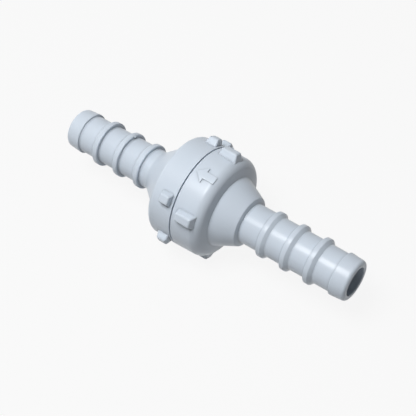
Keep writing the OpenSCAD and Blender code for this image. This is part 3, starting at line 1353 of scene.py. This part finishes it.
@dataclass
class ReturnSpring:
    """The compression coil between the guide and the poppet, with closed, ground ends."""

    side: Side
    coil_r: float = 4.4
    wire_r: float = 0.35
    wire_resolution: int = 6
    coils: float = 5.0
    end_coils: float = 1.0
    foot: float = 4.4
    length: float = 8.2
    open_length: float = 4.7
    sunk_share: float = 0.6
    steps: int = 56

    def rise(self, turns: float) -> float:
        """Works out how high the wire's centre is in the closed, open and closed coils.

        Args:
            turns: How many turns of wire lie below it.

        Returns:
            Its height above the wire's first centre.
        """
        wire = 2 * self.wire_r
        closed_coils = 2 * self.end_coils
        open_coils = self.coils - closed_coils
        open_rise = self.length + 2 * self.sunk_share * self.wire_r - (closed_coils + 1) * wire
        past_end = turns - self.end_coils
        closed = min(turns, self.end_coils) + max(past_end - open_coils, 0)
        return wire * closed + open_rise * min(max(past_end, 0), open_coils) / open_coils

    def wind(self) -> None:
        """Adds the wound wire as a mesh, selected and active."""
        line = bpy.data.curves.new("return_spring_wire", "CURVE")
        line.dimensions = "3D"
        line.bevel_depth = self.wire_r * MM
        line.bevel_resolution = self.wire_resolution
        line.use_fill_caps = True
        count = round(self.coils * self.steps)
        spline = line.splines.new("POLY")
        spline.points.add(count)
        start = self.foot - self.length + self.wire_r * (1 - self.sunk_share)
        for number, point in enumerate(spline.points):
            turns = number / self.steps
            angle = turns * FULL_TURN
            x = self.side.x(start + self.rise(turns))
            around = (self.coil_r * math.cos(angle), self.coil_r * math.sin(angle))
            point.co = (x * MM, around[0] * MM, around[1] * MM, 1)
        coil = add_object("return_spring_wire", line)
        coil.select_set(True)
        bpy.context.view_layer.objects.active = coil
        bpy.ops.object.convert(target="MESH")

    def build(self, paint: Paint) -> None:
        """Winds, grinds and dresses the spring.

        Args:
            paint: The made materials.
        """
        spring = Workpiece("return_spring_coil", self.wind)
        spring.close()
        foot, top = self.side.x(self.foot) * MM, self.side.x(self.foot - self.length) * MM
        for place, way in ((foot, self.side.sign), (top, -self.side.sign)):
            with spring.edit():
                bpy.ops.mesh.bisect(
                    plane_co=(place, 0, 0), plane_no=(way, 0, 0), clear_outer=True, use_fill=True
                )
        spring.close()
        spring.deliver(paint, Slot.STEEL, "outlet_half", "return_spring")
        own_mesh(spring.obj)


@dataclass(frozen=True)
class Lamp:
    """A square soft light that faces the middle of the valve, with its power in watts."""

    name: str
    place: tuple[float, float, float]
    size: float
    power: float

    def hang(self) -> None:
        """Adds the light to the scene."""
        data = bpy.data.lights.new(self.name, "AREA")
        data.size, data.energy = self.size * MM, self.power
        lamp = add_object(self.name, data)
        place = Vector(self.place)
        lamp.location = place * MM
        lamp.rotation_euler = place.to_track_quat("Z", "Y").to_euler()


@dataclass
class Studio:
    """The pale floor, the soft light and the photograph's viewpoint."""

    parting: float
    azimuth: float = 36.16
    elevation: float = 46.44
    tilt: float = 1.58
    rest_turn: float = 9.5
    distance: float = 319.1
    right_shift: float = 1.31
    up_shift: float = -3.36
    lens: float = 93.5
    sensor: float = 36.0
    clip_near: float = 10.0
    clip_far: float = 20000.0
    floor_size: float = 3000.0
    paper: Colour = (0.45, 0.45, 0.45)
    white: Colour = (1.0, 1.0, 1.0)
    ambient: float = 0.06
    floor_glow: float = 0.9
    lamps: tuple[Lamp, ...] = (
        Lamp("key", (-50, -120, 450), size=200, power=2.15),
        Lamp("fill", (-430, -50, 200), size=180, power=0.3),
        Lamp("mouth", (330, -260, 250), size=160, power=0.06),
    )

    def camera(self) -> None:
        """Places the camera as the photograph's was, in the frame in which the valve rests."""
        azimuth, elevation = math.radians(self.azimuth), math.radians(self.elevation)
        right = Vector((math.cos(azimuth), math.sin(azimuth), 0))
        back = Vector((
            math.sin(azimuth) * math.cos(elevation),
            -math.cos(azimuth) * math.cos(elevation),
            math.sin(elevation),
        ))
        axes = Matrix((right, back.cross(right), back)).transposed()
        axes @= Matrix.Rotation(math.radians(self.tilt), 3, "Z")
        axes = Matrix.Rotation(-math.radians(self.rest_turn), 3, "X") @ axes
        offset = Vector((self.right_shift, self.up_shift, self.distance))
        place = (Vector((self.parting, 0, 0)) + axes @ offset) * MM
        data = bpy.data.cameras.new("camera")
        data.lens, data.sensor_width = self.lens, self.sensor
        data.clip_start, data.clip_end = self.clip_near * MM, self.clip_far * MM
        camera = add_object("camera", data)
        camera.matrix_world = Matrix.Translation(place) @ axes.to_4x4()
        bpy.context.scene.camera = camera

    def floor(self, height: float) -> None:
        """Lays the floor.

        Args:
            height: Its height in metres.
        """
        floor = Workpiece("floor", bpy.ops.mesh.primitive_plane_add, size=self.floor_size * MM)
        with floor.edit():
            bpy.ops.transform.translate(value=(0, 0, height))
        material = bpy.data.materials.new("floor")
        graph = Graph(material)
        share = self.seen(graph) * self.floor_glow
        paper = graph.node("ShaderNodeBsdfDiffuse", {}, {"Color": (*self.paper, 1)})
        glow = graph.node("ShaderNodeEmission", {}, {"Color": (*self.white, 1), "Strength": 1.0})
        mixed = graph.node("ShaderNodeMixShader", {}, {0: share, 1: paper, 2: glow})
        graph.node("ShaderNodeOutputMaterial", {}, {"Surface": mixed})
        floor.obj.data.materials.append(material)
        floor.obj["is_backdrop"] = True

    def seen(self, graph: Graph) -> Wire:
        """Finds whether light goes to the camera, a reflection or a clear body.

        Args:
            graph: The nodes that it is for.

        Returns:
            A mask that is 1 where it does.
        """
        rays = [
            graph.node("ShaderNodeLightPath", output=name)
            for name in ("Is Camera Ray", "Is Glossy Ray", "Is Transmission Ray")
        ]
        return rays[0] + rays[1] + rays[2]

    def world(self) -> None:
        """Makes the white surroundings and the ambient light."""
        world = bpy.data.worlds.new("studio")
        graph = Graph(world)
        level = self.ambient + (1 - self.ambient) * self.seen(graph)
        values = {"Color": (*self.white, 1), "Strength": level}
        glow = graph.node("ShaderNodeBackground", {}, values)
        graph.node("ShaderNodeOutputWorld", {}, {"Surface": glow})
        bpy.context.scene.world = world

    def build(self, floor_height: float) -> None:
        """Sets up the whole studio.

        Args:
            floor_height: The floor's height in metres.
        """
        self.camera()
        self.floor(floor_height)
        self.world()
        for lamp in self.lamps:
            lamp.hang()
        bpy.context.scene.view_settings.view_transform = "Standard"


def box_corners() -> list[list[float]]:
    """The shown object's lowest and highest corner as plain lists."""
    return [list(corner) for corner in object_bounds()]


def main() -> None:
    logging.basicConfig(level=logging.INFO, format="%(name)s: %(message)s")
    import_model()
    frame_box = box_corners()
    low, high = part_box("inlet_body")
    parting = low.x / MM
    inlet = Side(parting, 1, high.x / MM - parting)
    outlet = Side(parting, -1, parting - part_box("outlet_body")[0].x / MM)
    drum, tail, paint = Drum(), HoseTail(), Paint()
    units = (
        InletHalf(inlet, drum, tail),
        OutletHalf(outlet, drum, tail),
        BodySeal(inlet),
        PoppetUnit(inlet),
        StemGuide(outlet),
        ReturnSpring(outlet),
    )
    for unit in units:
        unit.build(paint)
    Studio(parting).build(frame_box[0][2])


if __name__ == "__main__":
    main()
